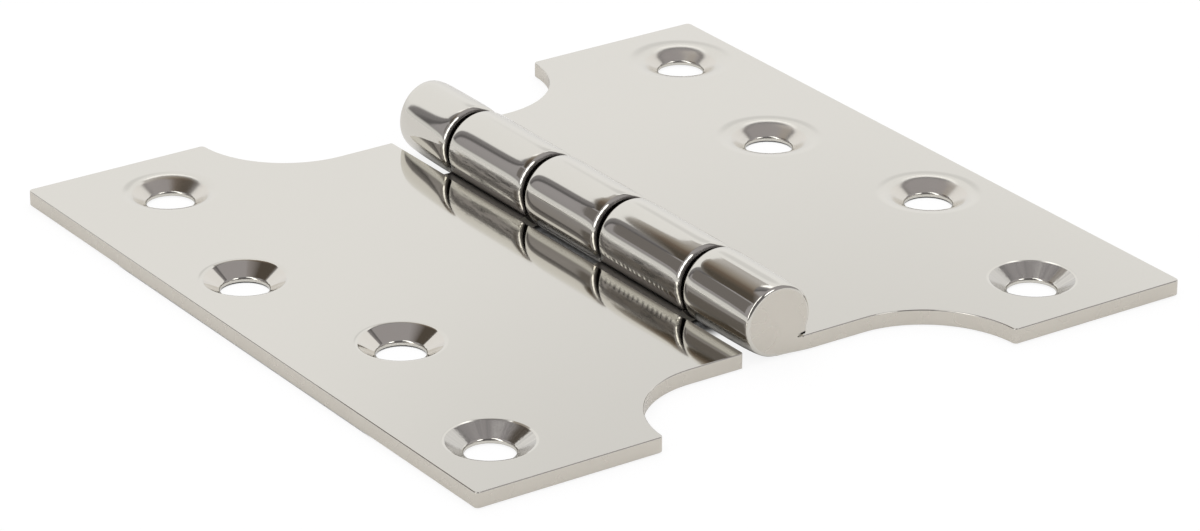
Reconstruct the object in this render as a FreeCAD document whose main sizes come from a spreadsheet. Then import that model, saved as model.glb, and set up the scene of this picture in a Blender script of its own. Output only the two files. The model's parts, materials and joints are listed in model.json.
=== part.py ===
"""Parliament hinge: two polished leaves with long projecting necks, joined by a hidden fixed pin.

The hinge lies flat open, countersunk side up. X runs from the door leaf to the frame leaf, Y along
the barrel and Z up. The origin is under the pin's axis, in the plane of both leaves' backs.
"""
import FreeCAD, Part
import os

import Sketcher
from FreeCAD import Placement, Rotation, Vector

# Driving dimensions, in millimetres and degrees
DRIVING = [
    ("leaf_height", 101.6, "height of a leaf, along the barrel"),
    ("leaf_reach", 50.8, "from the pin's axis to a leaf's outer edge"),
    ("leaf_thickness", 2.0, "thickness of the sheet"),
    ("strip_width", 25.4, "outer strip of a leaf, which has the full height"),
    ("barrel_length", 76.2, "length over the five knuckles"),
    ("second_knuckle", 17.15, "second knuckle, from gap to gap"),
    ("third_knuckle", 16.0, "third knuckle, from gap to gap"),
    ("fourth_knuckle", 17.55, "fourth knuckle, from gap to gap"),
    ("middle_shift", 0.65, "the middle three stand this much nearer to the first knuckle"),
    ("knuckle_gap", 0.4, "gap between two knuckles"),
    ("notch_clearance", 0.2, "from a knuckle to the notch that the other leaf has for it"),
    ("pin_diameter", 5.6, "diameter of the pin"),
    ("running_clearance", 0.05, "radial clearance of the door leaf's knuckles on the pin"),
    ("pin_chamfer", 0.4, "chamfer on the pin's ends"),
    ("end_wall", 1.5, "weld that closes each end of the barrel"),
    ("seam_width", 0.15, "open seam where a knuckle's roll comes back to its leaf"),
    ("seam_depth", 1.2, "depth of that seam"),
    ("hole_diameter", 6.0, "screw hole"),
    ("countersink_diameter", 10.6, "countersink, where its cone would reach the face"),
    ("countersink_angle", 115.0, "included angle of the countersink"),
    ("rim_round", 2.0, "radius polished on a countersink's rim"),
    ("near_inset", 8.7, "outer screw holes, from the outer edge"),
    ("far_inset", 14.5, "inner screw holes, from the outer edge"),
    ("end_inset", 10.3, "first and last screw hole, from a leaf's ends"),
    ("middle_pitch", 25.8, "between the two middle screw holes"),
    ("corner_round", 0.6, "radius on the corners of a leaf's outline"),
    ("edge_break", 0.3, "chamfer that breaks a leaf's lower edges and the knuckles' ends"),
]

# Sizes that follow from the driving ones
DERIVED = [
    ("pin_radius", "=pin_diameter / 2"),
    ("running_radius", "=pin_radius + running_clearance"),
    ("barrel_radius", "=running_radius + leaf_thickness"),
    ("notch_edge", "=barrel_radius + notch_clearance"),
    ("seam_reach", "=sqrt(barrel_radius ^ 2 - running_radius ^ 2)"),
    ("neck_radius", "=(leaf_height - barrel_length) / 2"),
    ("strip_edge", "=leaf_reach - strip_width"),
    ("neck_end", "=strip_edge - neck_radius"),
    ("half_height", "=leaf_height / 2"),
    ("half_barrel", "=barrel_length / 2"),
    ("pin_length", "=barrel_length - 2 * end_wall"),
    ("first_joint", "=(second_knuckle + third_knuckle + fourth_knuckle) / 2 + middle_shift"),
    ("second_joint", "=first_joint - second_knuckle"),
    ("third_joint", "=second_joint - third_knuckle"),
    ("fourth_joint", "=third_joint - fourth_knuckle"),
    ("outer_column", "=leaf_reach - near_inset"),
    ("inner_column", "=leaf_reach - far_inset"),
    ("end_row", "=half_height - end_inset"),
    ("middle_row", "=middle_pitch / 2"),
    ("half_gap", "=knuckle_gap / 2"),
    ("slot_end", "=half_barrel + knuckle_gap"),
    ("slot_back", "=-notch_edge"),
]

TOLERANCE = 1e-4


def make_sizes(doc):
    """The spreadsheet that drives every sketch and feature."""
    sheet = doc.addObject("Spreadsheet::Sheet", "Sizes")
    for row, (alias, size, meaning) in enumerate(DRIVING, start=1):
        sheet.set(f"A{row}", meaning)
        sheet.set(f"B{row}", str(size))
        sheet.setAlias(f"B{row}", alias)
    for row, (alias, formula) in enumerate(DERIVED, start=len(DRIVING) + 1):
        sheet.set(f"A{row}", alias.replace("_", " "))
        sheet.set(f"B{row}", formula)
        sheet.setAlias(f"B{row}", alias)
    doc.recompute()
    return sheet


def new_sketch(body, name, role):
    """A sketch on one of the body's own origin planes."""
    sketch = body.newObject("Sketcher::SketchObject", name)
    plane = next(item for item in body.Origin.OriginFeatures if item.Role == role)
    sketch.AttachmentSupport = [(plane, "")]
    sketch.MapMode = "FlatFace"
    return sketch


def value(thing, formula):
    """What a formula in the spreadsheet's sizes comes to."""
    return float(thing.evalExpression(formula))


def place(sketch, formulas):
    """The sketch point that a pair of formulas gives."""
    return Vector(value(sketch, formulas[0]), value(sketch, formulas[1]), 0)


def tie_size(sketch, constraint, geometry, formula):
    """A radius or diameter that follows a formula."""
    index = sketch.addConstraint(Sketcher.Constraint(constraint, geometry, value(sketch, formula)))
    sketch.setExpression(f"Constraints[{index}]", formula)


def tie_point(sketch, geometry, end, formulas):
    """Tie an end or centre of a piece of geometry to a pair of formulas."""
    for constraint, axis, formula in zip(("DistanceX", "DistanceY"), (-2, -1), formulas):
        if formula == "0":
            sketch.addConstraint(Sketcher.Constraint("PointOnObject", geometry, end, axis))
        else:
            offset = Sketcher.Constraint(constraint, -1, 1, geometry, end, value(sketch, formula))
            sketch.setExpression(f"Constraints[{sketch.addConstraint(offset)}]", formula)


def draw_outline(sketch, corners, arcs=()):
    """A closed outline through tied corners, given as pairs of formulas.

    arcs maps the number of the corner that an arc leaves to its centre, its radius and whether it
    turns clockwise. The other corners are joined by lines.
    """
    arcs = dict(arcs)
    edges = []
    for number, start in enumerate(corners):
        end = corners[(number + 1) % len(corners)]
        first, last = place(sketch, start), place(sketch, end)
        if number not in arcs:
            edges.append((sketch.addGeometry(Part.LineSegment(first, last)), 1, 2))
            continue
        centre, radius, clockwise = arcs[number]
        if clockwise:
            first, last = last, first
        middle = place(sketch, centre)
        circle = Part.Circle(middle, Vector(0, 0, 1), value(sketch, radius))
        arc = sketch.addGeometry(Part.ArcOfCircle(circle, circle.parameter(first), circle.parameter(last)))
        tie_size(sketch, "Radius", arc, radius)
        edges.append((arc, 2, 1) if clockwise else (arc, 1, 2))
    for number, (edge, start, end) in enumerate(edges):
        following, joined, _ = edges[(number + 1) % len(edges)]
        sketch.addConstraint(Sketcher.Constraint("Coincident", edge, end, following, joined))
        tie_point(sketch, edge, start, corners[number])


def draw_rectangle(sketch, left, right, low, high):
    """A rectangle between formulas for its four sides."""
    draw_outline(sketch, [(left, low), (right, low), (right, high), (left, high)])


def draw_circle(sketch, centre, diameter):
    """A circle round a tied centre."""
    circle = Part.Circle(place(sketch, centre), Vector(0, 0, 1), value(sketch, diameter) / 2)
    index = sketch.addGeometry(circle)
    tie_point(sketch, index, 3, centre)
    tie_size(sketch, "Diameter", index, diameter)


def add_feature(body, kind, name, sketch, length=None, **settings):
    """A pad, pocket or hole from a sketch, with a length that may follow a formula."""
    feature = body.newObject(f"PartDesign::{kind}", name)
    feature.Profile = sketch
    if length:
        feature.setExpression("Length", length)
    for setting, content in settings.items():
        setattr(feature, setting, content)
    return feature


def dress_edges(body, kind, name, size, chosen):
    """A fillet or chamfer on the edges of the body's last feature that a test picks out."""
    tip = body.Tip
    numbers = [f"Edge{number}" for number, edge in enumerate(tip.Shape.Edges, start=1) if chosen(edge)]
    dressing = body.newObject(f"PartDesign::{kind}", name)
    dressing.Base = (tip, numbers)
    dressing.setExpression("Radius" if kind == "Fillet" else "Size", size)
    return dressing


def near(first, second):
    """Whether two lengths are the same."""
    return abs(first - second) < TOLERANCE


def is_round(edge):
    """Whether an edge is a circle or an arc of one."""
    return isinstance(edge.Curve, Part.Circle)


def draw_leaf(body):
    """Flat outline of a leaf: the full-height strip, its quarter-round shoulders and the neck."""
    sketch = new_sketch(body, "LeafOutline", "XY_Plane")
    edge, neck, strip, reach = "Sizes.notch_edge", "Sizes.neck_end", "Sizes.strip_edge", "Sizes.leaf_reach"
    top, high, radius = "Sizes.half_height", "Sizes.half_barrel", "Sizes.neck_radius"
    bottom, low = f"-{top}", f"-{high}"
    corners = [(edge, low), (neck, low), (strip, bottom), (reach, bottom),
               (reach, top), (strip, top), (neck, high), (edge, high)]
    arcs = {1: ((neck, bottom), radius, True), 5: ((neck, top), radius, True)}
    draw_outline(sketch, corners, arcs)
    return sketch


def draw_roll(body):
    """End view of a rolled knuckle: it leaves the leaf's back on a tangent and comes round to its face."""
    sketch = new_sketch(body, "RollProfile", "XZ_Plane")
    edge, radius, sheet = "Sizes.notch_edge", "Sizes.barrel_radius", "Sizes.leaf_thickness"
    corners = [(edge, "0"), ("0", "0"), ("Sizes.seam_reach", sheet), (edge, sheet)]
    draw_outline(sketch, corners, {1: (("0", radius), radius, True)})
    return sketch


def draw_slots(body, slots):
    """Slots in the roll for the other leaf's knuckles, as pairs of formulas along the barrel."""
    sketch = new_sketch(body, "SlotOutlines", "XY_Plane")
    for low, high in slots:
        draw_rectangle(sketch, "Sizes.slot_back", "Sizes.notch_edge", low, high)
    return sketch


def draw_seam(body):
    """Section of the seam between the end of the roll and the leaf's face."""
    sketch = new_sketch(body, "SeamSection", "XZ_Plane")
    face = "Sizes.leaf_thickness"
    draw_rectangle(sketch, "Sizes.seam_reach - Sizes.seam_depth", "Sizes.seam_reach + Sizes.seam_width",
                   face, f"{face} + Sizes.seam_width")
    return sketch


def draw_screw_holes(body):
    """Centres of the four screw holes, which zigzag between two columns."""
    sketch = new_sketch(body, "ScrewHoles", "XY_Plane")
    sketch.setExpression("AttachmentOffset.Base.z", "Sizes.leaf_thickness")
    outer, inner = "Sizes.outer_column", "Sizes.inner_column"
    rows = [(outer, "Sizes.end_row"), (inner, "Sizes.middle_row"),
            (outer, "-Sizes.middle_row"), (inner, "-Sizes.end_row")]
    for centre in rows:
        draw_circle(sketch, centre, "Sizes.hole_diameter")
    return sketch


def make_leaf(doc, sizes, label, slots, bore_diameter, bore_length):
    """A leaf that points along +X, with its roll slotted for the other leaf's knuckles."""
    body = doc.addObject("PartDesign::Body", label.title().replace("_", ""))
    body.Label = label
    add_feature(body, "Pad", "Sheet", draw_leaf(body), length="Sizes.leaf_thickness")
    add_feature(body, "Pad", "Roll", draw_roll(body), SideType="Symmetric", length="Sizes.barrel_length")
    doc.recompute()
    full = body.Shape.Volume

    add_feature(body, "Pocket", "Slots", draw_slots(body, slots), SideType="Symmetric", Type="ThroughAll")
    bore = new_sketch(body, "BoreCircle", "XZ_Plane")
    draw_circle(bore, ("0", "Sizes.barrel_radius"), bore_diameter)
    add_feature(body, "Pocket", "Bore", bore, SideType="Symmetric", length=bore_length)
    seam_length = "Sizes.barrel_length + Sizes.knuckle_gap"
    add_feature(body, "Pocket", "Seam", draw_seam(body), SideType="Symmetric", length=seam_length)
    doc.recompute()
    slotted = body.Shape.Volume

    holes = add_feature(body, "Hole", "CountersunkHoles", draw_screw_holes(body))
    holes.DepthType = "ThroughAll"
    holes.HoleCutType = "Countersink"
    holes.setExpression("Diameter", "Sizes.hole_diameter")
    holes.setExpression("HoleCutDiameter", "Sizes.countersink_diameter")
    holes.setExpression("HoleCutCountersinkAngle", "Sizes.countersink_angle")
    doc.recompute()
    if not full > slotted > body.Shape.Volume:
        raise RuntimeError(f"{label}: a cut missed the solid")

    dress_edges(body, "Fillet", "RimRounding", "Sizes.rim_round", lambda edge: is_rim(edge, sizes))
    doc.recompute()
    dress_edges(body, "Fillet", "CornerRounding", "Sizes.corner_round", lambda edge: is_corner(edge, sizes))
    doc.recompute()
    dress_edges(body, "Chamfer", "EdgeBreak", "Sizes.edge_break", lambda edge: is_lower_or_end(edge, sizes))
    doc.recompute()
    return body


def is_rim(edge, sizes):
    """The circle where a countersink meets the leaf's face."""
    return is_round(edge) and near(2 * edge.Curve.Radius, sizes.countersink_diameter)


def is_corner(edge, sizes):
    """An upright edge at a corner of the full-height strip."""
    first, last = edge.firstVertex().Point, edge.lastVertex().Point
    upright = near(first.x, last.x) and near(first.y, last.y) and near(edge.Length, sizes.leaf_thickness)
    return upright and near(abs(first.y), sizes.half_height)


def is_lower_or_end(edge, sizes):
    """The outer edge of the leaf's back, away from the roll, and the round edges of the knuckles."""
    if is_round(edge) and near(edge.Curve.Radius, sizes.barrel_radius):
        return True
    low = near(edge.BoundBox.ZMin, 0) and near(edge.BoundBox.ZMax, 0)
    return low and edge.BoundBox.XMax > sizes.notch_edge + TOLERANCE and not is_hole(edge, sizes)


def is_hole(edge, sizes):
    """A circle of a screw hole."""
    return is_round(edge) and near(2 * edge.Curve.Radius, sizes.hole_diameter)


def make_pin(doc):
    """The pin, a plain turned rod with chamfered ends, hidden between the welded ends of the barrel."""
    body = doc.addObject("PartDesign::Body", "HingePin")
    body.Label = "hinge_pin"
    section = new_sketch(body, "PinSection", "XZ_Plane")
    draw_circle(section, ("0", "0"), "Sizes.pin_diameter")
    add_feature(body, "Pad", "Rod", section, SideType="Symmetric", length="Sizes.pin_length")
    doc.recompute()
    dress_edges(body, "Chamfer", "EndChamfers", "Sizes.pin_chamfer", is_round)
    body.setExpression("Placement.Base.z", "Sizes.barrel_radius")
    return body


def make_hinge(doc, sizes):
    """All the pieces of the hinge, each in its place."""
    first, second, third, fourth = (f"Sizes.{name}_joint" for name in ("first", "second", "third", "fourth"))
    gap, end = "Sizes.half_gap", "Sizes.slot_end"
    frame_slots = [(f"{second} - {gap}", f"{first} + {gap}"), (f"{fourth} - {gap}", f"{third} + {gap}")]
    door_slots = [(f"-{end}", f"-{first} + {gap}"), (f"-{second} - {gap}", f"-{third} + {gap}"),
                  (f"-{fourth} - {gap}", end)]
    pin_fit, running_fit = "Sizes.pin_diameter", "2 * Sizes.running_radius"
    frame_leaf = make_leaf(doc, sizes, "frame_leaf", frame_slots, pin_fit, "Sizes.pin_length")
    door_leaf = make_leaf(doc, sizes, "door_leaf", door_slots, running_fit, "Sizes.barrel_length")
    door_leaf.Placement = Placement(Vector(0, 0, 0), Rotation(Vector(0, 0, 1), 180))
    return [frame_leaf, door_leaf, make_pin(doc)]


def check(doc, pieces):
    """Stop before anything is written if a feature failed or a piece isn't one sound solid."""
    for item in doc.Objects:
        if "Invalid" in item.State or "Error" in item.State:
            raise RuntimeError(f"{item.Label} failed: {item.State}")
    for piece in pieces:
        shape = piece.Shape
        if shape.isNull() or not shape.isValid() or len(shape.Solids) != 1:
            raise RuntimeError(f"{piece.Label} isn't one valid solid")


def main():
    doc = FreeCAD.newDocument("ParliamentHinge")
    pieces = make_hinge(doc, make_sizes(doc))
    doc.recompute()
    check(doc, pieces)
    os.makedirs("parts", exist_ok=True)
    for piece in pieces:
        piece.Shape.exportStep(f"parts/{piece.Label}.step")
        print(piece.Label, piece.Shape.BoundBox, round(piece.Shape.Volume, 1))


main()
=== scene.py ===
import json
import math
import bmesh
import bpy
import numpy as np
from mathutils import Matrix, Vector
from mathutils.geometry import delaunay_2d_cdt


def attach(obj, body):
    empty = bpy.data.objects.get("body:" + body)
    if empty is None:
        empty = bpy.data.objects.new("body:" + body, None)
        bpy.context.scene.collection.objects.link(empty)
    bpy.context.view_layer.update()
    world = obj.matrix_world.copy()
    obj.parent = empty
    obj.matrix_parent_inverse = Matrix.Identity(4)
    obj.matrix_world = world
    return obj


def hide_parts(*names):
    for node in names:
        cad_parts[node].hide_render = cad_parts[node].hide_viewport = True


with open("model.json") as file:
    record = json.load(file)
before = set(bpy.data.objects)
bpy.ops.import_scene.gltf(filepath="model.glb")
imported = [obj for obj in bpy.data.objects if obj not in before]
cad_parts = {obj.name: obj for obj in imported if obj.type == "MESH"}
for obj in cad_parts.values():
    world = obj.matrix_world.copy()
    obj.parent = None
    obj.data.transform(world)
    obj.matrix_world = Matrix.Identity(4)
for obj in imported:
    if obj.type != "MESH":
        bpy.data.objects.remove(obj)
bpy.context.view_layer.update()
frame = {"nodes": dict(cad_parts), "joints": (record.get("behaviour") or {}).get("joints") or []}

MM = 0.001
scene = bpy.context.scene

# Sizes, as the CAD has them
AXIS = frame["joints"][0]["pos_m"][2] * 1000     # height of the barrel's middle, also its radius
REACH, HALF_HEIGHT, SHEET = 50.8, 50.8, 2.0      # one leaf: reach, half its height, thickness
SHOULDER, BARREL_HALF = 12.7, 38.1               # shoulder arc and half the barrel's length
NOTCH_EDGE = 5.05                                # where the leaf starts beside a knuckle
JOINTS = (26.0, 8.85, -7.15, -24.7)              # middles of the gaps between the knuckles
GAP = 0.4                                        # width of a gap, deep down
BORE, END_WALL = 2.85, 1.5                       # bore of the knuckles, and its closed outer ends
SEAM_Z, SEAM_WIDTH, SEAM_DEPTH = 2.0, 0.15, 1.2  # slit where the rolled end meets the sheet
HOLE_RADIUS, SINK_RADIUS, SINK_SLOPE = 3.0, 5.3, math.radians(32.5)

# Edges: top of the sheet, underside, barrel's ends, a leaf's corners, a cone's foot, a hole's underside
ARRIS, UNDER_ROUND, END_ROUND, CORNER, CONE_FOOT, HOLE_ARRIS = 0.14, 0.18, 0.4, 0.6, 0.22, 0.15
# Edge of a knuckle inside a joint, as inset and drop: worn over, ground, then slack down to the bore
JOINT_EDGE = ((0.84, 0.0), (0.70, 0.02), (0.50, 0.08), (0.34, 0.15), (0.16, 0.27), (0.14, 0.34), (0.0, 1.2))
ROUND_STEPS = len(JOINT_EDGE) - 1                # all edges have as many steps, so that their points meet
ROLL_STEPS, BORE_STEPS, HOLE_STEPS, SHOULDER_STEPS, CORNER_STEPS = 124, 64, 96, 44, 8

# Holes of a leaf that points to +X: place, the radius that the polishing wheel has put on the rim, and the
# width of the flat ring that the wheel has left on the rim of two holes
HOLES = {
    "frame": ((42.1, 40.5, 6.0, 0), (36.3, 12.9, 5.0, 0), (42.1, -12.9, 4.5, 0), (36.3, -40.5, 0.4, 0.22)),
    "door": ((42.1, 40.5, 0.4, 0.22), (36.3, 12.9, 1.0, 0), (42.1, -12.9, 1.3, 0), (36.3, -40.5, 3.5, 0)),
}
# Knuckles of a leaf that points to +X, from -Y to +Y. The door leaf is turned half round.
KNUCKLES = {
    "frame": ((-BARREL_HALF, JOINTS[3] - GAP / 2), (JOINTS[2] + GAP / 2, JOINTS[1] - GAP / 2),
              (JOINTS[0] + GAP / 2, BARREL_HALF)),
    "door": ((GAP / 2 - JOINTS[0], -GAP / 2 - JOINTS[1]), (GAP / 2 - JOINTS[2], -GAP / 2 - JOINTS[3])),
}

# Kinds of face, and how much each kind pulls the polish normals of its corners
STRIP, BROAD, FLAT = 0, 1, 2
PULL = (1.0, 60.0, 5000.0)
SHARP = math.cos(math.radians(34))               # faces that meet at more than this share no normal
POLISHED, LINISHED, SUNK, BUFFED = 0, 1, 2, 3    # material slots of a leaf
SAME_PLACE, JOIN = 2e-4, 4e-4                    # points this close count as one, corners are joined


def circle(x, y, radius, steps):
    angles = [2 * math.pi * i / steps for i in range(steps)]
    return [(x + radius * math.cos(a), y + radius * math.sin(a)) for a in angles]


def ease(share):
    """Soft step from 0 to 1."""
    return share * share * (3 - 2 * share)


# Outline of a leaf: points on the finished edge with the direction that faces out
def arc(cx, cy, radius, start, end, steps, inward=False):
    sign = -1 if inward else 1
    for i in range(steps + 1):
        a = math.radians(start + (end - start) * i / steps)
        yield (cx + radius * math.cos(a), cy + radius * math.sin(a), sign * math.cos(a), sign * math.sin(a))


def leaf_outline(side):
    """Half the edge of a leaf, at -Y, from the barrel to the outer edge: place, way out, edge's size."""
    path = []
    if side == "door":
        corner = 0.3
        for x, y, nx, ny in arc(NOTCH_EDGE + corner, corner - BARREL_HALF, corner, 180, 270, 5):
            path.append((x, y, nx, ny, (math.degrees(math.atan2(ny, nx)) % 360 - 180) / 90))
    else:
        path.append((NOTCH_EDGE, -BARREL_HALF, 0, -1, 1))
    halfway = 9.0
    path.append((halfway, -BARREL_HALF, 0, -1, 1))
    cusp_x = SHOULDER + math.sqrt((SHOULDER + CORNER) ** 2 - CORNER ** 2)
    cusp_y = CORNER - HALF_HEIGHT
    meet = math.degrees(math.atan2(CORNER, cusp_x - SHOULDER))
    shoulder = arc(SHOULDER, -HALF_HEIGHT, SHOULDER, 90, meet, SHOULDER_STEPS, inward=True)
    cusp = list(arc(cusp_x, cusp_y, CORNER, 180 + meet, 270, CORNER_STEPS))[1:]
    tip = arc(REACH - CORNER, cusp_y, CORNER, 270, 360, CORNER_STEPS)
    return path + [(x, y, nx, ny, 1) for part in (shoulder, cusp, tip) for x, y, nx, ny in part]


def full_outline(side):
    low = leaf_outline(side)
    return low + [(x, -y, nx, -ny, size) for x, y, nx, ny, size in reversed(low)]


def knuckle_section():
    """Section of a knuckle, from the root's underside round the barrel to the root's top.

    Its points are x, z, out x, out z, edge size at an inner end and edge size at an outer end."""
    section = []
    root_steps, lip_steps = 6, 5
    for i in range(root_steps + 1):
        x = NOTCH_EDGE * (1 - i / root_steps)
        section.append((x, 0.0, 0, -1, END_ROUND * ease(1 - x / NOTCH_EDGE), UNDER_ROUND))
    lip = SEAM_Z + SEAM_WIDTH
    end = 360 - math.degrees(math.acos((AXIS - lip) / AXIS))
    for i in range(1, ROLL_STEPS + 1):
        a = math.radians(end * i / ROLL_STEPS)
        fade = ease(min(1, (ROLL_STEPS - i) / lip_steps))
        section.append((-AXIS * math.sin(a), AXIS - AXIS * math.cos(a), -math.sin(a), -math.cos(a),
                        END_ROUND * fade, ARRIS + (END_ROUND - ARRIS) * fade))
    lip_x = section[-1][0]
    section.append((lip_x - SEAM_DEPTH, lip, 0, -1, 0, 0))
    section.append((lip_x - SEAM_DEPTH, SEAM_Z, 0, 1, 0, 0))
    section.append((lip_x, SEAM_Z, 0, 1, 0, ARRIS))
    section.append((NOTCH_EDGE, SEAM_Z, 0, 1, 0, ARRIS))
    return section


SECTION = knuckle_section()


def is_outer(end):
    return abs(abs(end) - BARREL_HALF) < 1e-6


def stations(low, high):
    """Distances along a knuckle, close together near its ends and clear of their edges."""
    near = (0.45, 0.52, 0.62, 0.74, 0.90, 1.0, 1.15, 1.35, 1.7, 2.2, 3.0)
    starts = [END_ROUND if is_outer(end) else JOINT_EDGE[0][0] for end in (low, high)]
    margin, spacing = 4.0, 1.2
    middle = np.linspace(low + margin, high - margin, max(3, int((high - low - 2 * margin) / spacing)))
    return ([low + d for d in near if d > starts[0]] + list(middle)
            + [high - d for d in reversed(near) if d > starts[1]])


# The wheel has dipped the ends of every knuckle: how deep and over what length, longer at the barrel's near
# end. It has run over three knuckles as well, mostly on the side that it came from: where that wear starts,
# where it is full, its depth, and its middle and half width round the barrel, in degrees.
DIP, DIP_LENGTH, NEAR_DIP_LENGTH = 0.3, 0.75, 1.7
WEAR_CURVE = 1.7                                 # wear grows slowly at first
WEAR = {
    ("frame", 2): (26.2, 38.1, 0.80, -80, 110),
    ("frame", 0): (-26.0, -38.1, 0.25, -10, 95),
    ("door", 1): (9.0, 24.5, 0.12, 15, 90),
}


def dubbing(side, index, y, angle):
    """How far polishing has worn the barrel down at a place along it and an angle from its crest."""
    low, high = KNUCKLES[side][index]
    low_length = NEAR_DIP_LENGTH if (side, index) == ("frame", 0) else DIP_LENGTH
    worn = DIP * (math.exp(-(y - low) / low_length) + math.exp(-(high - y) / DIP_LENGTH))
    if (side, index) in WEAR:
        start, full, depth, middle, half = WEAR[side, index]
        along = max(0.0, (y - start) / (full - start))
        off = (angle - middle + 180) % 360 - 180
        worn += depth * along ** WEAR_CURVE * math.cos(math.radians(min(1, abs(off) / half) * 90)) ** 2
    return worn


class Shell:
    """Collects the faces of a closed shell and joins the corners that share a place."""

    def __init__(self):
        self.bm = bmesh.new()
        self.kind = self.bm.faces.layers.int.new("kind")

    def face(self, corners, kind, slot):
        kept = clean(corners)
        if len(kept) < 3:
            return
        f = self.bm.faces.new([self.bm.verts.new(c) for c in kept])
        f[self.kind] = kind
        f.material_index = slot

    def strip(self, first, second, kind, slot):
        for a, b, c, d in zip(first, first[1:], second[1:], second):
            self.face((a, b, c, d), kind, slot)

    def sheet(self, rows, kind, slot):
        for first, second in zip(rows, rows[1:]):
            self.strip(first, second, kind, slot)

    def flat(self, outline, holes, plane, kind, slot):
        """A flat face from its outline and holes, in the plane's own two directions."""
        points, edges = [], []
        for loop in [outline] + holes:
            start = len(points)
            points += [Vector(p) for p in loop]
            edges += [(start + i, start + (i + 1) % len(loop)) for i in range(len(loop))]
        verts, _, faces, *_ = delaunay_2d_cdt(points, edges, [], 1, 1e-5)
        for face in faces:
            middle = sum((verts[i] for i in face), Vector((0, 0))) / len(face)
            if not any(inside(middle, hole) for hole in holes):
                self.face([plane(verts[i]) for i in face], kind, slot)

    def mesh(self, name, turn):
        """The mesh in metres. A turn of -1 turns it half round."""
        bm = self.bm
        bmesh.ops.remove_doubles(bm, verts=bm.verts, dist=JOIN)
        bmesh.ops.dissolve_degenerate(bm, edges=bm.edges, dist=1e-5)
        bmesh.ops.recalc_face_normals(bm, faces=bm.faces)
        bm.transform(Matrix.Diagonal((turn * MM, turn * MM, MM, 1)))
        mesh = bpy.data.meshes.new(name)
        bm.to_mesh(mesh)
        bm.free()
        return mesh


def clean(loop):
    """Leaves out points of a loop that share a place."""
    return [p for i, p in enumerate(loop) if math.dist(p, loop[i - 1]) > SAME_PLACE]


def inside(point, loop):
    hit = False
    for (ax, ay), (bx, by) in zip(loop, loop[1:] + loop[:1]):
        if (ay > point.y) != (by > point.y) and point.x < (bx - ax) * (point.y - ay) / (by - ay) + ax:
            hit = not hit
    return hit


def polish_normals(mesh):
    """Gives each corner the normal of the broad face it meets, so a flat mirror stays flat."""
    count = len(mesh.polygons)
    normals = np.empty(count * 3)
    areas = np.empty(count)
    kinds = np.empty(count, dtype=np.int32)
    mesh.polygons.foreach_get("normal", normals)
    mesh.polygons.foreach_get("area", areas)
    mesh.attributes["kind"].data.foreach_get("value", kinds)
    normals = normals.reshape(-1, 3)
    pull = areas * np.array(PULL)[kinds]
    around = [[] for _ in mesh.vertices]
    for p in mesh.polygons:
        for v in p.vertices:
            around[v].append(p.index)
    corner_normals = []
    for p in mesh.polygons:
        own = normals[p.index]
        for v in p.vertices:
            keep = [q for q in around[v] if normals[q] @ own > SHARP]
            total = (normals[keep] * pull[keep, None]).sum(0)
            corner_normals.append(total / np.linalg.norm(total))
    mesh.shade_smooth()
    mesh.normals_split_custom_set(corner_normals)


def placed(name, data):
    """An object of the scene, at the origin."""
    obj = bpy.data.objects.new(name, data)
    scene.collection.objects.link(obj)
    return obj


def add(tree, kind, settings=None, **links):
    """One node with its settings and links. A link i2 goes to input 2, and Base_Color to Base Color."""
    node = tree.nodes.new(kind)
    for key, value in (settings or {}).items():
        if isinstance(key, int) or key in node.inputs:
            node.inputs[key].default_value = value
        else:
            setattr(node, key, value)
    for key, source in links.items():
        numbered = key[0] == "i" and key[1:].isdigit()
        tree.links.new(source, node.inputs[int(key[1:]) if numbered else key.replace("_", " ")])
    return node


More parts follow.
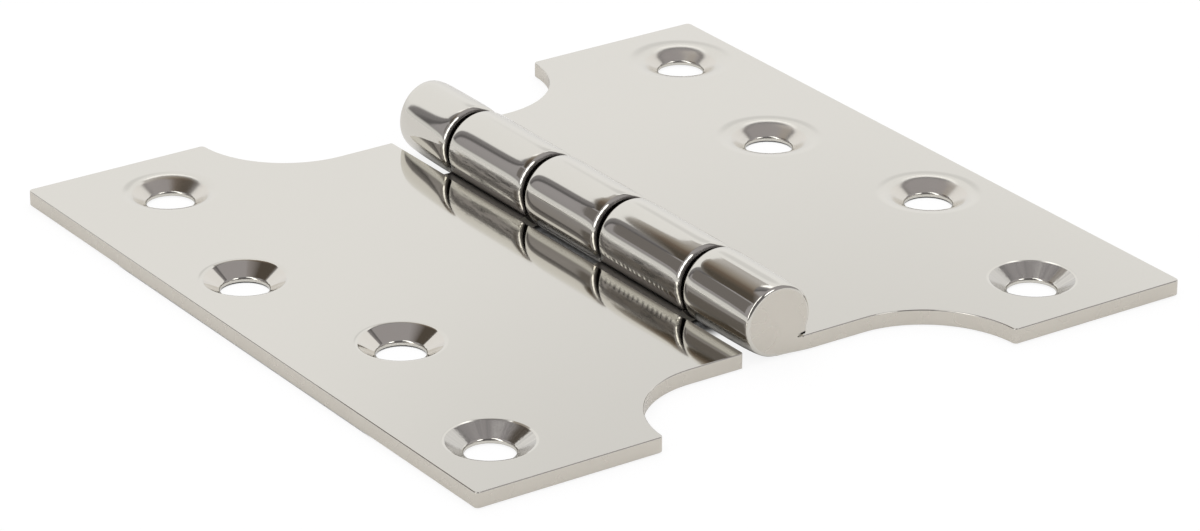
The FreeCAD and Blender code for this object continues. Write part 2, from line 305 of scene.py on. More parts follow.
def wall_tree():
    """Geometry nodes: turns a profile of points round a hole's middle, as a countersink is cut."""
    tree = bpy.data.node_groups.new("turned wall", "GeometryNodeTree")
    face = tree.interface
    face.new_socket("Geometry", in_out="INPUT", socket_type="NodeSocketGeometry")
    for name, kind in (("Rows", "Int"), ("Segments", "Int"), ("Centre", "Vector"), ("Finish", "Material")):
        face.new_socket(name, in_out="INPUT", socket_type="NodeSocket" + kind)
    face.new_socket("Geometry", in_out="OUTPUT", socket_type="NodeSocketGeometry")
    given = add(tree, "NodeGroupInput")
    around = add(tree, "ShaderNodeMath", {"operation": "ADD", 1: 1.0}, i0=given.outputs["Segments"])
    grid = add(tree, "GeometryNodeMeshGrid", i2=given.outputs["Rows"], i3=around.outputs[0])
    index = add(tree, "GeometryNodeInputIndex")
    row = add(tree, "ShaderNodeMath", {"operation": "DIVIDE"}, i0=index.outputs[0], i1=around.outputs[0])
    row = add(tree, "ShaderNodeMath", {"operation": "FLOOR"}, i0=row.outputs[0])
    column = add(tree, "ShaderNodeMath", {"operation": "MODULO"}, i0=index.outputs[0], i1=around.outputs[0])
    turn = add(tree, "ShaderNodeMath", {"operation": "DIVIDE"}, i0=column.outputs[0],
               i1=given.outputs["Segments"])
    turn = add(tree, "ShaderNodeMath", {"operation": "MULTIPLY", 1: 2 * math.pi}, i0=turn.outputs[0])
    place = add(tree, "GeometryNodeInputPosition")
    profile = add(tree, "GeometryNodeSampleIndex", {"data_type": "FLOAT_VECTOR"},
                  Geometry=given.outputs[0], Value=place.outputs[0], Index=row.outputs[0])
    turned = add(tree, "ShaderNodeVectorRotate", {"rotation_type": "Z_AXIS"},
                 Vector=profile.outputs[0], Angle=turn.outputs[0])
    moved = add(tree, "ShaderNodeVectorMath", {"operation": "ADD"}, i0=turned.outputs[0],
                i1=given.outputs["Centre"])
    wall = add(tree, "GeometryNodeSetPosition", Geometry=grid.outputs[0], Position=moved.outputs[0])
    wall = add(tree, "GeometryNodeMergeByDistance", {"Distance": 1e-4}, Geometry=wall.outputs[0])
    wall = add(tree, "GeometryNodeRealizeInstances", Geometry=wall.outputs[0])
    wall = add(tree, "GeometryNodeSetMaterial", Geometry=wall.outputs[0], Material=given.outputs["Finish"])
    add(tree, "NodeGroupOutput", Geometry=wall.outputs[0])
    return tree


def sink_profile(round_radius, ring):
    """Radius and height down a countersunk hole, whose rim curves in gently and may have a flat ring."""
    steps, gentle, facet, foot_steps = 14, 1.4, math.radians(16), 5
    path, r, z = [(0.0, SHEET)], 0.0, SHEET
    length = round_radius * SINK_SLOPE / steps
    for i in range(steps):
        slope = SINK_SLOPE * ((i + 0.5) / steps) ** gentle
        if ring and slope > facet:
            r, z, ring = r - ring * math.cos(facet), z - ring * math.sin(facet), 0
            path.append((r, z))
        r, z = r - length * math.cos(slope), z - length * math.sin(slope)
        path.append((r, z))
    start = SINK_RADIUS - r - (SHEET - z) / math.tan(SINK_SLOPE)
    points = [(start + r, z) for r, z in path]
    # Straight cone down to a small rounding, then the straight wall and the underside's edge
    foot_z = SHEET - (SINK_RADIUS - HOLE_RADIUS) * math.tan(SINK_SLOPE)
    foot_radius = CONE_FOOT / math.tan((math.pi / 2 - SINK_SLOPE) / 2)
    start_r = HOLE_RADIUS + CONE_FOOT * math.cos(SINK_SLOPE)
    start_z = foot_z + CONE_FOOT * math.sin(SINK_SLOPE)
    points.append(((points[-1][0] + start_r) / 2, (points[-1][1] + start_z) / 2))
    for i in range(foot_steps + 1):
        a = SINK_SLOPE + (math.pi / 2 - SINK_SLOPE) * i / foot_steps
        points.append((HOLE_RADIUS + foot_radius * (1 - math.sin(a)),
                       foot_z - CONE_FOOT + foot_radius * math.cos(a)))
    for i in range(ROUND_STEPS):
        a = math.pi / 2 * i / (ROUND_STEPS - 1)
        points.append((HOLE_RADIUS + HOLE_ARRIS * (1 - math.cos(a)), HOLE_ARRIS * (1 - math.sin(a))))
    return points


TURNED_WALL = wall_tree()


def turned_wall(points, centre, finish):
    """The tree's wall as a plain mesh."""
    mesh = bpy.data.meshes.new("profile")
    mesh.from_pydata([(r, 0, z) for r, z in points], [(i, i + 1) for i in range(len(points) - 1)], [])
    obj = placed("profile", mesh)
    modifier = obj.modifiers.new("wall", "NODES")
    modifier.node_group = TURNED_WALL
    sockets = {s.name: s.identifier for s in TURNED_WALL.interface.items_tree if s.in_out == "INPUT"}
    modifier[sockets["Rows"]] = len(points)
    modifier[sockets["Segments"]] = HOLE_STEPS
    modifier[sockets["Centre"]] = (centre[0], centre[1], 0.0)
    modifier[sockets["Finish"]] = finish
    made = bpy.data.meshes.new_from_object(obj.evaluated_get(bpy.context.evaluated_depsgraph_get()))
    bpy.data.objects.remove(obj)
    return made


def rounding(size):
    """Inset and drop over an edge, from the face that it leaves to the face that it meets."""
    angles = [math.pi / 2 * i / ROUND_STEPS for i in range(ROUND_STEPS + 1)]
    return [(size * (1 - math.sin(a)), size * (1 - math.cos(a))) for a in angles]


def knuckle_edge(size, outer):
    """Inset and drop over a knuckle's end: a plain rounding outside, a worn chamfer inside a joint."""
    if outer:
        return rounding(size)
    return [(inset * size / END_ROUND, drop * size / END_ROUND) for inset, drop in JOINT_EDGE]


def edge_strips(shell, path):
    """Crisp arris on top, flat wall, rounder edge underneath. Returns the edge's lines on both faces."""
    top_rows, under_rows = [], []
    for step in range(ROUND_STEPS + 1):
        top, under = [], []
        for x, y, nx, ny, size in path:
            inset, drop = rounding(ARRIS * size)[step]
            top.append((x - nx * inset, y - ny * inset, SHEET - drop))
            inset, drop = rounding(UNDER_ROUND * size)[step]
            under.append((x - nx * inset, y - ny * inset, drop))
        top_rows.append(top)
        under_rows.append(under)
    shell.sheet(top_rows, STRIP, POLISHED)
    shell.strip(top_rows[-1], under_rows[-1], BROAD, LINISHED)
    shell.sheet(under_rows, STRIP, LINISHED)
    return top_rows[0], under_rows[0]


def knuckle_end(shell, side, index, end, inward):
    """One end of a knuckle, with its edge and its end face. Returns its rows from the barrel to the face."""
    outer = is_outer(end)
    rows = []
    for step in range(ROUND_STEPS + 1):
        row = []
        for x, z, nx, nz, inner_size, outer_size in SECTION:
            inset, drop = knuckle_edge(outer_size if outer else inner_size, outer)[step]
            y = end + inward * inset
            drop += dubbing(side, index, y, math.degrees(math.atan2(nx, nz))) * (inner_size / END_ROUND)
            row.append((x - nx * drop, y, z - nz * drop))
        rows.append(row)
    shell.sheet(rows[:-1], STRIP, POLISHED)
    shell.sheet(rows[-2:], STRIP, POLISHED if outer else LINISHED)
    bore = [] if outer else [circle(0, AXIS, BORE, BORE_STEPS)]
    shell.flat([(x, z) for x, _, z in rows[-1]], bore, lambda v: (v.x, end, v.y), FLAT, LINISHED)
    return rows


def knuckle(shell, side, index):
    """A rolled knuckle with its ends and its bore. Returns its rows from one end face to the other."""
    low, high = KNUCKLES[side][index]
    low_rows = knuckle_end(shell, side, index, low, 1)
    high_rows = knuckle_end(shell, side, index, high, -1)
    middle = []
    for y in stations(low, high):
        row = []
        for x, z, nx, nz, size, _ in SECTION:
            wear = dubbing(side, index, y, math.degrees(math.atan2(nx, nz))) * size / END_ROUND
            row.append((x - nx * wear, y, z - nz * wear))
        middle.append(row)
    shell.sheet([low_rows[0]] + middle + [high_rows[0]], BROAD, POLISHED)
    bore = circle(0, AXIS, BORE, BORE_STEPS)
    depths = [end + inward * (END_WALL if is_outer(end) else 0) for end, inward in ((low, 1), (high, -1))]
    rings = [[(x, y, z) for x, z in bore + bore[:1]] for y in depths]
    shell.strip(rings[0], rings[1], BROAD, LINISHED)
    for end, y in zip((low, high), depths):
        if is_outer(end):
            shell.flat(bore, [], lambda v: (v.x, y, v.y), FLAT, LINISHED)
    return low_rows[::-1] + middle + high_rows


def notch_wall(shell, start, end):
    shell.face(((NOTCH_EDGE, start, 0), (NOTCH_EDGE, end, 0), (NOTCH_EDGE, end, SHEET),
                (NOTCH_EDGE, start, SHEET)), FLAT, LINISHED)


def root_lines(shell, knuckles, top_edge, under_edge, starts_in_notch):
    """Walls of the notches. Returns the lines beside the barrel on both faces, past roots and notches."""
    top_line, under_line = [], []
    if starts_in_notch:
        top_line.append(top_edge[0])
        under_line.append(under_edge[0])
    for rows in knuckles:
        roots = [row[-1] for row in rows if abs(row[-1][2] - SHEET) < 1e-6]
        if top_line:
            notch_wall(shell, top_line[-1][1], roots[0][1])
        top_line += roots
        under_line += [row[0] for row in rows if abs(row[0][2]) < 1e-6]
    if starts_in_notch:
        notch_wall(shell, top_line[-1][1], top_edge[-1][1])
        top_line.append(top_edge[-1])
        under_line.append(under_edge[-1])
    return top_line, under_line


def countersink(shell, hole, finishes):
    """A countersunk hole, turned by the geometry nodes. Returns the radii of its rim and of its foot."""
    x, y, rim, ring = hole
    points = sink_profile(rim, ring)
    cone = SUNK if ring else BUFFED
    wall = turned_wall(points, (x, y), finishes[cone])
    # The mop reaches the rim, some way down a cone without a ring, and the straight wall at the foot
    foot_end, rim_start = HOLE_RADIUS + 0.2, SINK_RADIUS - (0 if ring else 0.5)
    for p in wall.polygons:
        reach = math.dist(p.center[:2], (x, y))
        polished = reach < foot_end or reach > rim_start
        shell.face([wall.vertices[v].co[:] for v in p.vertices], STRIP, POLISHED if polished else cone)
    bpy.data.meshes.remove(wall)
    return points[0][0], points[-1][0]


def make_leaf(side, turn, finishes):
    """A leaf with its knuckles and holes, as one closed mesh."""
    shell = Shell()
    top_edge, under_edge = edge_strips(shell, full_outline(side))
    knuckles = [knuckle(shell, side, index) for index in range(len(KNUCKLES[side]))]
    top_line, under_line = root_lines(shell, knuckles, top_edge, under_edge, side == "door")
    radii = [countersink(shell, hole, finishes) for hole in HOLES[side]]
    rims = [circle(x, y, rim, HOLE_STEPS) for (x, y, _, _), (rim, _) in zip(HOLES[side], radii)]
    feet = [circle(x, y, foot, HOLE_STEPS) for (x, y, _, _), (_, foot) in zip(HOLES[side], radii)]
    for edge, line, holes, z in ((top_edge, top_line, rims, SHEET), (under_edge, under_line, feet, 0.0)):
        outline = clean([p[:2] for p in edge] + [p[:2] for p in reversed(line)])
        shell.flat(outline, holes, lambda v: (v.x, v.y, z), FLAT, POLISHED)
    mesh = shell.mesh(side + "_leaf_steel", turn)
    polish_normals(mesh)
    mark_surface(mesh, side, turn, [rim for rim, _ in radii])
    for finish in finishes:
        mesh.materials.append(finish)
    return placed(side + "_leaf_polished", mesh)


def mark_surface(mesh, side, turn, rims):
    """Marks for the materials: the way out from the nearest hole, its dished rim, a roll's ground weld."""
    place = np.empty(len(mesh.vertices) * 3)
    mesh.vertices.foreach_get("co", place)
    place = place.reshape(-1, 3) / MM
    centres = np.array([(turn * x, turn * y) for x, y, _, _ in HOLES[side]])
    away = place[:, None, :2] - centres[None]
    far = np.linalg.norm(away, axis=2)
    nearest = far.argmin(1)
    rows = np.arange(len(place))
    out = away[rows, nearest] / np.maximum(far[rows, nearest], 1e-6)[:, None]
    mark = mesh.attributes.new("out_from_hole", "FLOAT_VECTOR", "POINT")
    mark.data.foreach_set("vector", np.column_stack([out, np.zeros(len(out))]).ravel())
    # A rim counts as dished where the wheel has rounded it by more than 2 mm, and over its outer 1.8 mm
    dish_radius, dish_width = 2, 1.8
    near = np.clip((np.array(rims)[nearest] - far[rows, nearest]) / dish_width, 0, 1)
    wide = np.array([rounded > dish_radius for _, _, rounded, _ in HOLES[side]])[nearest]
    mark = mesh.attributes.new("dished", "FLOAT", "POINT")
    mark.data.foreach_set("value", ease(near) * wide)
    # The weld is on the roll's surface, in a strip whose edges fade, in degrees from the crest
    start, start_fade, end, end_fade, depth = 73, 8, 109, 6, 0.25
    angle = np.degrees(np.arctan2(place[:, 0] * turn, place[:, 2] - AXIS))
    rise, fall = np.clip((angle - start) / start_fade, 0, 1), np.clip((end - angle) / end_fade, 0, 1)
    on_roll = np.abs(np.hypot(place[:, 0], place[:, 2] - AXIS) - AXIS) < depth
    mark = mesh.attributes.new("ground_weld", "FLOAT", "POINT")
    mark.data.foreach_set("value", rise * fall * on_roll)


# Materials
def steel(hex_code):
    """A colour written as sRGB hex, turned to linear."""
    parts = [int(hex_code[i:i + 2], 16) / 255 for i in (1, 3, 5)]
    return tuple(c / 12.92 if c <= 0.04045 else ((c + 0.055) / 1.055) ** 2.4 for c in parts) + (1.0,)


def material(name):
    made = bpy.data.materials.new(name)
    made.use_nodes = True
    made.node_tree.nodes.clear()
    return made, made.node_tree


STEEL = steel("#DAD7CF")                         # polished stainless steel, a little warm
DISHED_ROUGH = 0.13                              # how much duller the dished rims are
JOINT_SHADE_TONE = steel("#6E6A66")                      # steel darkened as painted shade, for the joints between the knuckles


def soft_box(tree, limits):
    """Product of soft steps, each a value in metres with where it starts and is full, in millimetres."""
    product = None
    for value, start, full in limits:
        step = add(tree, "ShaderNodeMapRange", {"From Min": start * MM, "From Max": full * MM}, Value=value)
        step = step.outputs[0]
        if product is not None:
            step = add(tree, "ShaderNodeMath", {"operation": "MULTIPLY"}, i0=product, i1=step).outputs[0]
        product = step
    return product


def joint_shade(tree, place, along):
    """Painted shade in the joints, full up to 0.44 mm from a joint's middle and 4.90 mm from the axis."""
    nearest = None
    for middle in JOINTS:
        offset = add(tree, "ShaderNodeMath", {"operation": "SUBTRACT", 1: middle * MM}, i0=along)
        offset = add(tree, "ShaderNodeMath", {"operation": "ABSOLUTE"}, i0=offset.outputs[0]).outputs[0]
        if nearest is not None:
            offset = add(tree, "ShaderNodeMath", {"operation": "MINIMUM"}, i0=nearest, i1=offset).outputs[0]
        nearest = offset
    axis = add(tree, "ShaderNodeVectorMath", {"operation": "SUBTRACT", 1: (0, 0, AXIS * MM)}, i0=place)
    flat = add(tree, "ShaderNodeVectorMath", {"operation": "MULTIPLY", 1: (1, 0, 1)}, i0=axis.outputs[0])
    radius = add(tree, "ShaderNodeVectorMath", {"operation": "LENGTH"}, i0=flat.outputs[0]).outputs["Value"]
    return soft_box(tree, ((nearest, 0.58, 0.44), (radius, 4.95, 4.90)))


def ground_weld(tree, place, parts):
    """Ground weld beside the seam of each roll, as relief and as dark pits.

    Grinding streaks run along it, 0.4 mm apart, with slanted nicks low on the near knuckles."""
    weld = add(tree, "ShaderNodeAttribute", {"attribute_name": "ground_weld"}).outputs["Fac"]
    stretched = add(tree, "ShaderNodeMapping", {"Scale": (900.0, 330.0, 2600.0)}, Vector=place)
    streaks = add(tree, "ShaderNodeTexNoise", {"Scale": 1.0, "Detail": 4.0, "Roughness": 0.65},
                  Vector=stretched.outputs[0])
    slanted = add(tree, "ShaderNodeMapping", {"Rotation": (math.radians(24), 0, 0), "Scale": (1.0, 1.0, 0.3)},
                  Vector=place)
    nicks = add(tree, "ShaderNodeTexWave", {"bands_direction": "Y", "Scale": 350.0, "Distortion": 2.5,
                "Detail": 2.0, "Detail Scale": 2.0}, Vector=slanted.outputs[0])
    low = add(tree, "ShaderNodeMapRange", {"interpolation_type": "SMOOTHSTEP", "From Min": 3.6 * MM,
              "From Max": 4.4 * MM, "To Min": 0.5, "To Max": 0.0}, Value=parts.outputs[2])
    near = add(tree, "ShaderNodeMapRange", {"From Min": -5 * MM, "From Max": -12 * MM},
               Value=parts.outputs[1])
    low = add(tree, "ShaderNodeMath", {"operation": "MULTIPLY"}, i0=low.outputs[0], i1=near.outputs[0])
    grain = add(tree, "ShaderNodeMixRGB", Fac=low.outputs[0], Color1=streaks.outputs["Fac"],
                Color2=nicks.outputs["Fac"])
    deep = add(tree, "ShaderNodeMath", {"operation": "MULTIPLY"}, i0=grain.outputs[0], i1=weld)
    uneven = add(tree, "ShaderNodeMapRange", {"From Min": 0.36, "From Max": 0.52, "To Min": 0.7,
                 "To Max": 0.0}, Value=grain.outputs[0])
    pitted = add(tree, "ShaderNodeMath", {"operation": "MULTIPLY"}, i0=uneven.outputs[0], i1=weld)
    return deep.outputs[0], pitted.outputs[0]


def polished_steel():
    """Stainless steel sheet, buffed to a mirror: a clear reflection with a faint orange peel."""
    made, tree = material("mirror_polished_stainless_steel")
    place = add(tree, "ShaderNodeTexCoord").outputs["Object"]
    parts = add(tree, "ShaderNodeSeparateXYZ", Vector=place)
    # Buffing leaves a slow wave, about 9 mm long, and a fine peel, about 0.7 mm
    wave = add(tree, "ShaderNodeTexNoise", {"Scale": 110.0, "Detail": 1.0}, Vector=place)
    peel = add(tree, "ShaderNodeTexNoise", {"Scale": 1400.0, "Detail": 2.0}, Vector=place)
    bump = add(tree, "ShaderNodeBump", {"Strength": 0.25, "Distance": 0.000010}, Height=wave.outputs["Fac"])
    bump = add(tree, "ShaderNodeBump", {"Strength": 0.12, "Distance": 0.000004}, Height=peel.outputs["Fac"],
               Normal=bump.outputs[0])
    # Handling haze: the polish is a little duller in patches of some 20 mm
    haze = add(tree, "ShaderNodeTexNoise", {"Scale": 45.0, "Detail": 3.0}, Vector=place)
    rough = add(tree, "ShaderNodeMapRange", {"From Min": 0.35, "From Max": 0.75, "To Min": 0.055,
                "To Max": 0.085}, Value=haze.outputs["Fac"])
    relief, pitted = ground_weld(tree, place, parts)
    bump = add(tree, "ShaderNodeBump", {"Strength": 0.4, "Distance": 0.00005}, Height=relief,
               Normal=bump.outputs[0])

    # Painted shade in the crevice between the barrel and the leaf, along the middle of the barrel
    across = add(tree, "ShaderNodeMath", {"operation": "ABSOLUTE"}, i0=parts.outputs[0]).outputs[0]
    along = add(tree, "ShaderNodeMath", {"operation": "ABSOLUTE"}, i0=parts.outputs[1]).outputs[0]
    height = parts.outputs[2]
    crevice_shade = soft_box(tree, ((across, 3.6, 3.8), (across, 5.32, 5.18), (height, 1.8, 1.9),
                              (height, 2.52, 2.2), (along, 27.2, 25.8)))
    # Painted shade in the joints between the knuckles
    joint_shading = joint_shade(tree, place, parts.outputs[1])

    # Polishing pits, 0.2 mm across and some 14 mm apart
    pits = add(tree, "ShaderNodeTexVoronoi", {"Scale": 72.0}, Vector=place)
    pit = add(tree, "ShaderNodeMapRange", {"From Min": 0.007, "From Max": 0.011, "To Min": 0.5,
              "To Max": 0.0}, Value=pits.outputs["Distance"])
    marks = add(tree, "ShaderNodeMath", {"operation": "MAXIMUM"}, i0=pitted, i1=pit.outputs[0])
    shade = add(tree, "ShaderNodeMixRGB", {"Color1": STEEL, "Color2": steel("#4A4744")}, Fac=marks.outputs[0])
    # Painted shade: grey in the crevice beside the barrel, dark grey in the joints between the knuckles
    shade = add(tree, "ShaderNodeMixRGB", {"Color2": steel("#8F8B88")}, Fac=crevice_shade, Color1=shade.outputs[0])
    shade = add(tree, "ShaderNodeMixRGB", {"Color2": JOINT_SHADE_TONE}, Fac=joint_shading, Color1=shade.outputs[0])
    # The painted shade in the crevice and the joints, the ground weld and the dished rims are duller than the
    # mirror
    dull = add(tree, "ShaderNodeMath", {"operation": "MAXIMUM"}, i0=crevice_shade, i1=pitted)
    dull = add(tree, "ShaderNodeMath", {"operation": "MAXIMUM"}, i0=dull.outputs[0], i1=joint_shading)
    dished = add(tree, "ShaderNodeAttribute", {"attribute_name": "dished"})
    for amount, share in ((dull.outputs[0], 0.35), (dished.outputs["Fac"], DISHED_ROUGH)):
        rough = add(tree, "ShaderNodeMath", {"operation": "MULTIPLY_ADD", 1: share}, i0=amount,
                    i2=rough.outputs[0])
    shader = add(tree, "ShaderNodeBsdfPrincipled", {"Metallic": 1.0}, Base_Color=shade.outputs[0],
                 Roughness=rough.outputs[0], Normal=bump.outputs[0])
    add(tree, "ShaderNodeOutputMaterial", Surface=shader.outputs[0])
    return made


def linished_steel():
    """Stainless steel edges, linished on a fine belt: satin, with short scratches along the edge."""
    made, tree = material("linished_stainless_edges")
    place = add(tree, "ShaderNodeTexCoord").outputs["Object"]
    # Belt scratches about 0.15 mm apart, which run level along the edge, and patches where the belt dwelt
    stretched = add(tree, "ShaderNodeMapping", {"Scale": (400.0, 400.0, 6500.0)}, Vector=place)
    lines = add(tree, "ShaderNodeTexNoise", {"Scale": 1.0, "Detail": 3.0}, Vector=stretched.outputs[0])
    patches = add(tree, "ShaderNodeTexNoise", {"Scale": 300.0, "Detail": 1.0}, Vector=place)
    bump = add(tree, "ShaderNodeBump", {"Strength": 0.1, "Distance": 0.00001}, Height=lines.outputs["Fac"])
    rough = add(tree, "ShaderNodeMapRange", {"To Min": 0.25, "To Max": 0.30}, Value=patches.outputs["Fac"])
    tone = add(tree, "ShaderNodeMixRGB", {"Color1": steel("#D3CEC4"), "Color2": steel("#D9D4CA")},
               Fac=patches.outputs["Fac"])
    # Painted shade: a ragged near-black patch where the roll's seam opens, on the barrel's two end faces
    parts = add(tree, "ShaderNodeSeparateXYZ", Vector=place)
    across = parts.outputs[0]
    along = add(tree, "ShaderNodeMath", {"operation": "ABSOLUTE"}, i0=parts.outputs[1]).outputs[0]
    ragged = add(tree, "ShaderNodeTexNoise", {"Scale": 2200.0, "Detail": 2.0}, Vector=place)
    level = add(tree, "ShaderNodeMath", {"operation": "MULTIPLY_ADD", 1: 0.7 * MM}, i0=ragged.outputs["Fac"],
                i2=parts.outputs[2]).outputs[0]
    seam = soft_box(tree, ((along, BARREL_HALF - 0.05, BARREL_HALF - 0.01), (across, 2.9, 3.4),
                           (across, 5.6, 5.0), (level, 2.2, 2.3), (level, 2.85, 2.75)))
    # Painted shade in the joints between the knuckles, on the knuckles' end faces
    joint_shading = joint_shade(tree, place, parts.outputs[1])
    # Painted shade: near black at the seam's open end, dark grey in the joints
    tone = add(tree, "ShaderNodeMixRGB", {"Color2": steel("#141312")}, Fac=seam, Color1=tone.outputs[0])
    tone = add(tree, "ShaderNodeMixRGB", {"Color2": JOINT_SHADE_TONE}, Fac=joint_shading, Color1=tone.outputs[0])
    shader = add(tree, "ShaderNodeBsdfPrincipled", {"Metallic": 1.0}, Base_Color=tone.outputs[0],
                 Roughness=rough.outputs[0], Normal=bump.outputs[0])
    add(tree, "ShaderNodeOutputMaterial", Surface=shader.outputs[0])
    return made


def buffed_steel():
    """Countersinks that the mop has reached: nearly as bright as the leaf, a little soft."""
    made, tree = material("buffed_countersinks")
    place = add(tree, "ShaderNodeTexCoord").outputs["Object"]
    soft = add(tree, "ShaderNodeTexNoise", {"Scale": 900.0, "Detail": 3.0}, Vector=place)
    out = add(tree, "ShaderNodeAttribute", {"attribute_name": "out_from_hole"}).outputs["Vector"]
    # Streaks of a warmer tone, at random round each hole: a painted warm reflection
    streaks = add(tree, "ShaderNodeTexNoise", {"Scale": 5.0, "Detail": 3.0}, Vector=out)
    shade = add(tree, "ShaderNodeMixRGB", {"Color1": steel("#DAD4CB"), "Color2": STEEL},
                Fac=streaks.outputs["Fac"])
    bump = add(tree, "ShaderNodeBump", {"Strength": 0.2, "Distance": 0.00001}, Height=soft.outputs["Fac"])
    rough = add(tree, "ShaderNodeMapRange", {"To Min": 0.06, "To Max": 0.09}, Value=soft.outputs["Fac"])
    dished = add(tree, "ShaderNodeAttribute", {"attribute_name": "dished"}).outputs["Fac"]
    rough = add(tree, "ShaderNodeMath", {"operation": "MULTIPLY_ADD", 1: DISHED_ROUGH}, i0=dished,
                i2=rough.outputs[0])
    shader = add(tree, "ShaderNodeBsdfPrincipled", {"Metallic": 1.0}, Base_Color=shade.outputs[0],
                 Roughness=rough.outputs[0], Normal=bump.outputs[0])
    add(tree, "ShaderNodeOutputMaterial", Surface=shader.outputs[0])
    return made


def sunk_steel():
    """Countersinks, cut with a turning cutter: rings round the hole draw each reflection out up and down."""
    made, tree = material("machined_countersinks")
    out = add(tree, "ShaderNodeAttribute", {"attribute_name": "out_from_hole"}).outputs["Vector"]
    # The mop has rubbed dark and light streaks down the cone, about 10 degrees apart
    streaks = add(tree, "ShaderNodeTexNoise", {"Scale": 6.0, "Detail": 5.0, "Roughness": 0.7}, Vector=out)
    tone = add(tree, "ShaderNodeMapRange", {"From Min": 0.35, "From Max": 0.7}, Value=streaks.outputs["Fac"])
    shade = add(tree, "ShaderNodeMixRGB", {"Color1": steel("#BEBBB6"), "Color2": STEEL}, Fac=tone.outputs[0])
    rough = add(tree, "ShaderNodeMapRange", {"To Min": 0.15, "To Max": 0.21}, Value=streaks.outputs["Fac"])
    # The cutter has chattered: facets of about half a millimetre that tilt by a few degrees
    place = add(tree, "ShaderNodeTexCoord").outputs["Object"]
    chatter = add(tree, "ShaderNodeTexNoise", {"Scale": 1500.0, "Detail": 2.0}, Vector=place)
    bump = add(tree, "ShaderNodeBump", {"Strength": 0.6, "Distance": 0.00003}, Height=chatter.outputs["Fac"])
    shader = add(tree, "ShaderNodeBsdfPrincipled", {"Metallic": 1.0, "Anisotropic": 0.95}, Tangent=out,
                 Base_Color=shade.outputs[0], Roughness=rough.outputs[0], Normal=bump.outputs[0])
    add(tree, "ShaderNodeOutputMaterial", Surface=shader.outputs[0])
    return made


def pin_steel():
    """Hinge pin, drawn wire: plain steel with fine lines along it."""
    made, tree = material("drawn_pin_steel")
    place = add(tree, "ShaderNodeTexCoord").outputs["Object"]
    stretched = add(tree, "ShaderNodeMapping", {"Scale": (4000.0, 60.0, 4000.0)}, Vector=place)
    lines = add(tree, "ShaderNodeTexNoise", {"Scale": 1.0, "Detail": 2.0}, Vector=stretched.outputs[0])
    bump = add(tree, "ShaderNodeBump", {"Strength": 0.3, "Distance": 0.00001}, Height=lines.outputs["Fac"])
    rough = add(tree, "ShaderNodeMapRange", {"To Min": 0.2, "To Max": 0.35}, Value=lines.outputs["Fac"])
    shader = add(tree, "ShaderNodeBsdfPrincipled", {"Base Color": steel("#B9B6B0"), "Metallic": 1.0},
                 Roughness=rough.outputs[0], Normal=bump.outputs[0])
    add(tree, "ShaderNodeOutputMaterial", Surface=shader.outputs[0])
    return made


finishes = [polished_steel(), linished_steel(), sunk_steel(), buffed_steel()]
for side, body, turn in (("frame", "frame_side", 1), ("door", "door_side", -1)):
    leaf = make_leaf(side, turn, finishes)
    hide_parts(side + "_leaf")
    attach(leaf, body)
drawn = pin_steel()
for slot in frame["nodes"]["hinge_pin"].material_slots:
    slot.material = drawn


# Studio: white wall behind, a grey room round it with a dark strip between, and five soft lamps
def toward(azimuth, elevation):
    """Direction from angles in degrees, where azimuth 0 is +Y and 90 is +X."""
    a, e = math.radians(azimuth), math.radians(elevation)
    return (math.sin(a) * math.cos(e), math.cos(a) * math.cos(e), math.sin(e))


def cosine(degrees):
    return math.cos(math.radians(degrees))


def fill_ramp(ramp, stops):
    """Sets a ramp's stops, each a place and a colour."""
    elements = ramp.color_ramp.elements
    while len(elements) < len(stops):
        elements.new(0.5)
    for element, (place, colour) in zip(elements, stops):
        element.position = place
        element.color = colour + (1,)


def round_patch(tree, ray, direction, rim, core, outer, inner):
    """Round patch of the studio, outer past its rim and inner in its core, both cosines of half angles."""
    dot = add(tree, "ShaderNodeVectorMath", {"operation": "DOT_PRODUCT", 1: toward(*direction)}, i0=ray)
    return add(tree, "ShaderNodeMapRange", {"interpolation_type": "SMOOTHSTEP", "From Min": rim,
               "From Max": core, "To Min": outer, "To Max": inner}, Value=dot.outputs["Value"])


def wall_and_room(tree, ray):
    """White wall that faces the camera, with a grey border and a dark strip, in a grey room.

    A ray meets the wall where it passes on the inner side of its left, right and top edge."""
    facing, left, right, top_slope = 35.0, -24, 94, 1 / 1.42
    top = Vector((math.sin(math.radians(facing)), cosine(facing), -top_slope)).normalized()
    within = None
    for direction in (toward(left + 90, 0), toward(right - 90, 0), tuple(top)):
        dot = add(tree, "ShaderNodeVectorMath", {"operation": "DOT_PRODUCT", 1: direction}, i0=ray)
        inner = dot.outputs["Value"]
        if within is not None:
            inner = add(tree, "ShaderNodeMath", {"operation": "MINIMUM"}, i0=within, i1=inner).outputs[0]
        within = inner
    # Greys from the room, past the dark strip and the border, to the wall
    spread = add(tree, "ShaderNodeMapRange", {"From Min": -0.5, "From Max": 0.5}, Value=within)
    ramp = add(tree, "ShaderNodeValToRGB", Fac=spread.outputs[0])
    ramp.color_ramp.interpolation = "EASE"
    greys = ((0.0, 0.40), (0.34, 0.40), (0.37, 0.13), (0.395, 0.16), (0.42, 0.24), (0.475, 0.26))
    white = (1.0, 1.0, 1.01)
    fill_ramp(ramp, [(place, (level, level * 0.962, level)) for place, level in greys]
              + [(0.52, white), (1.0, white)])
    return ramp, within


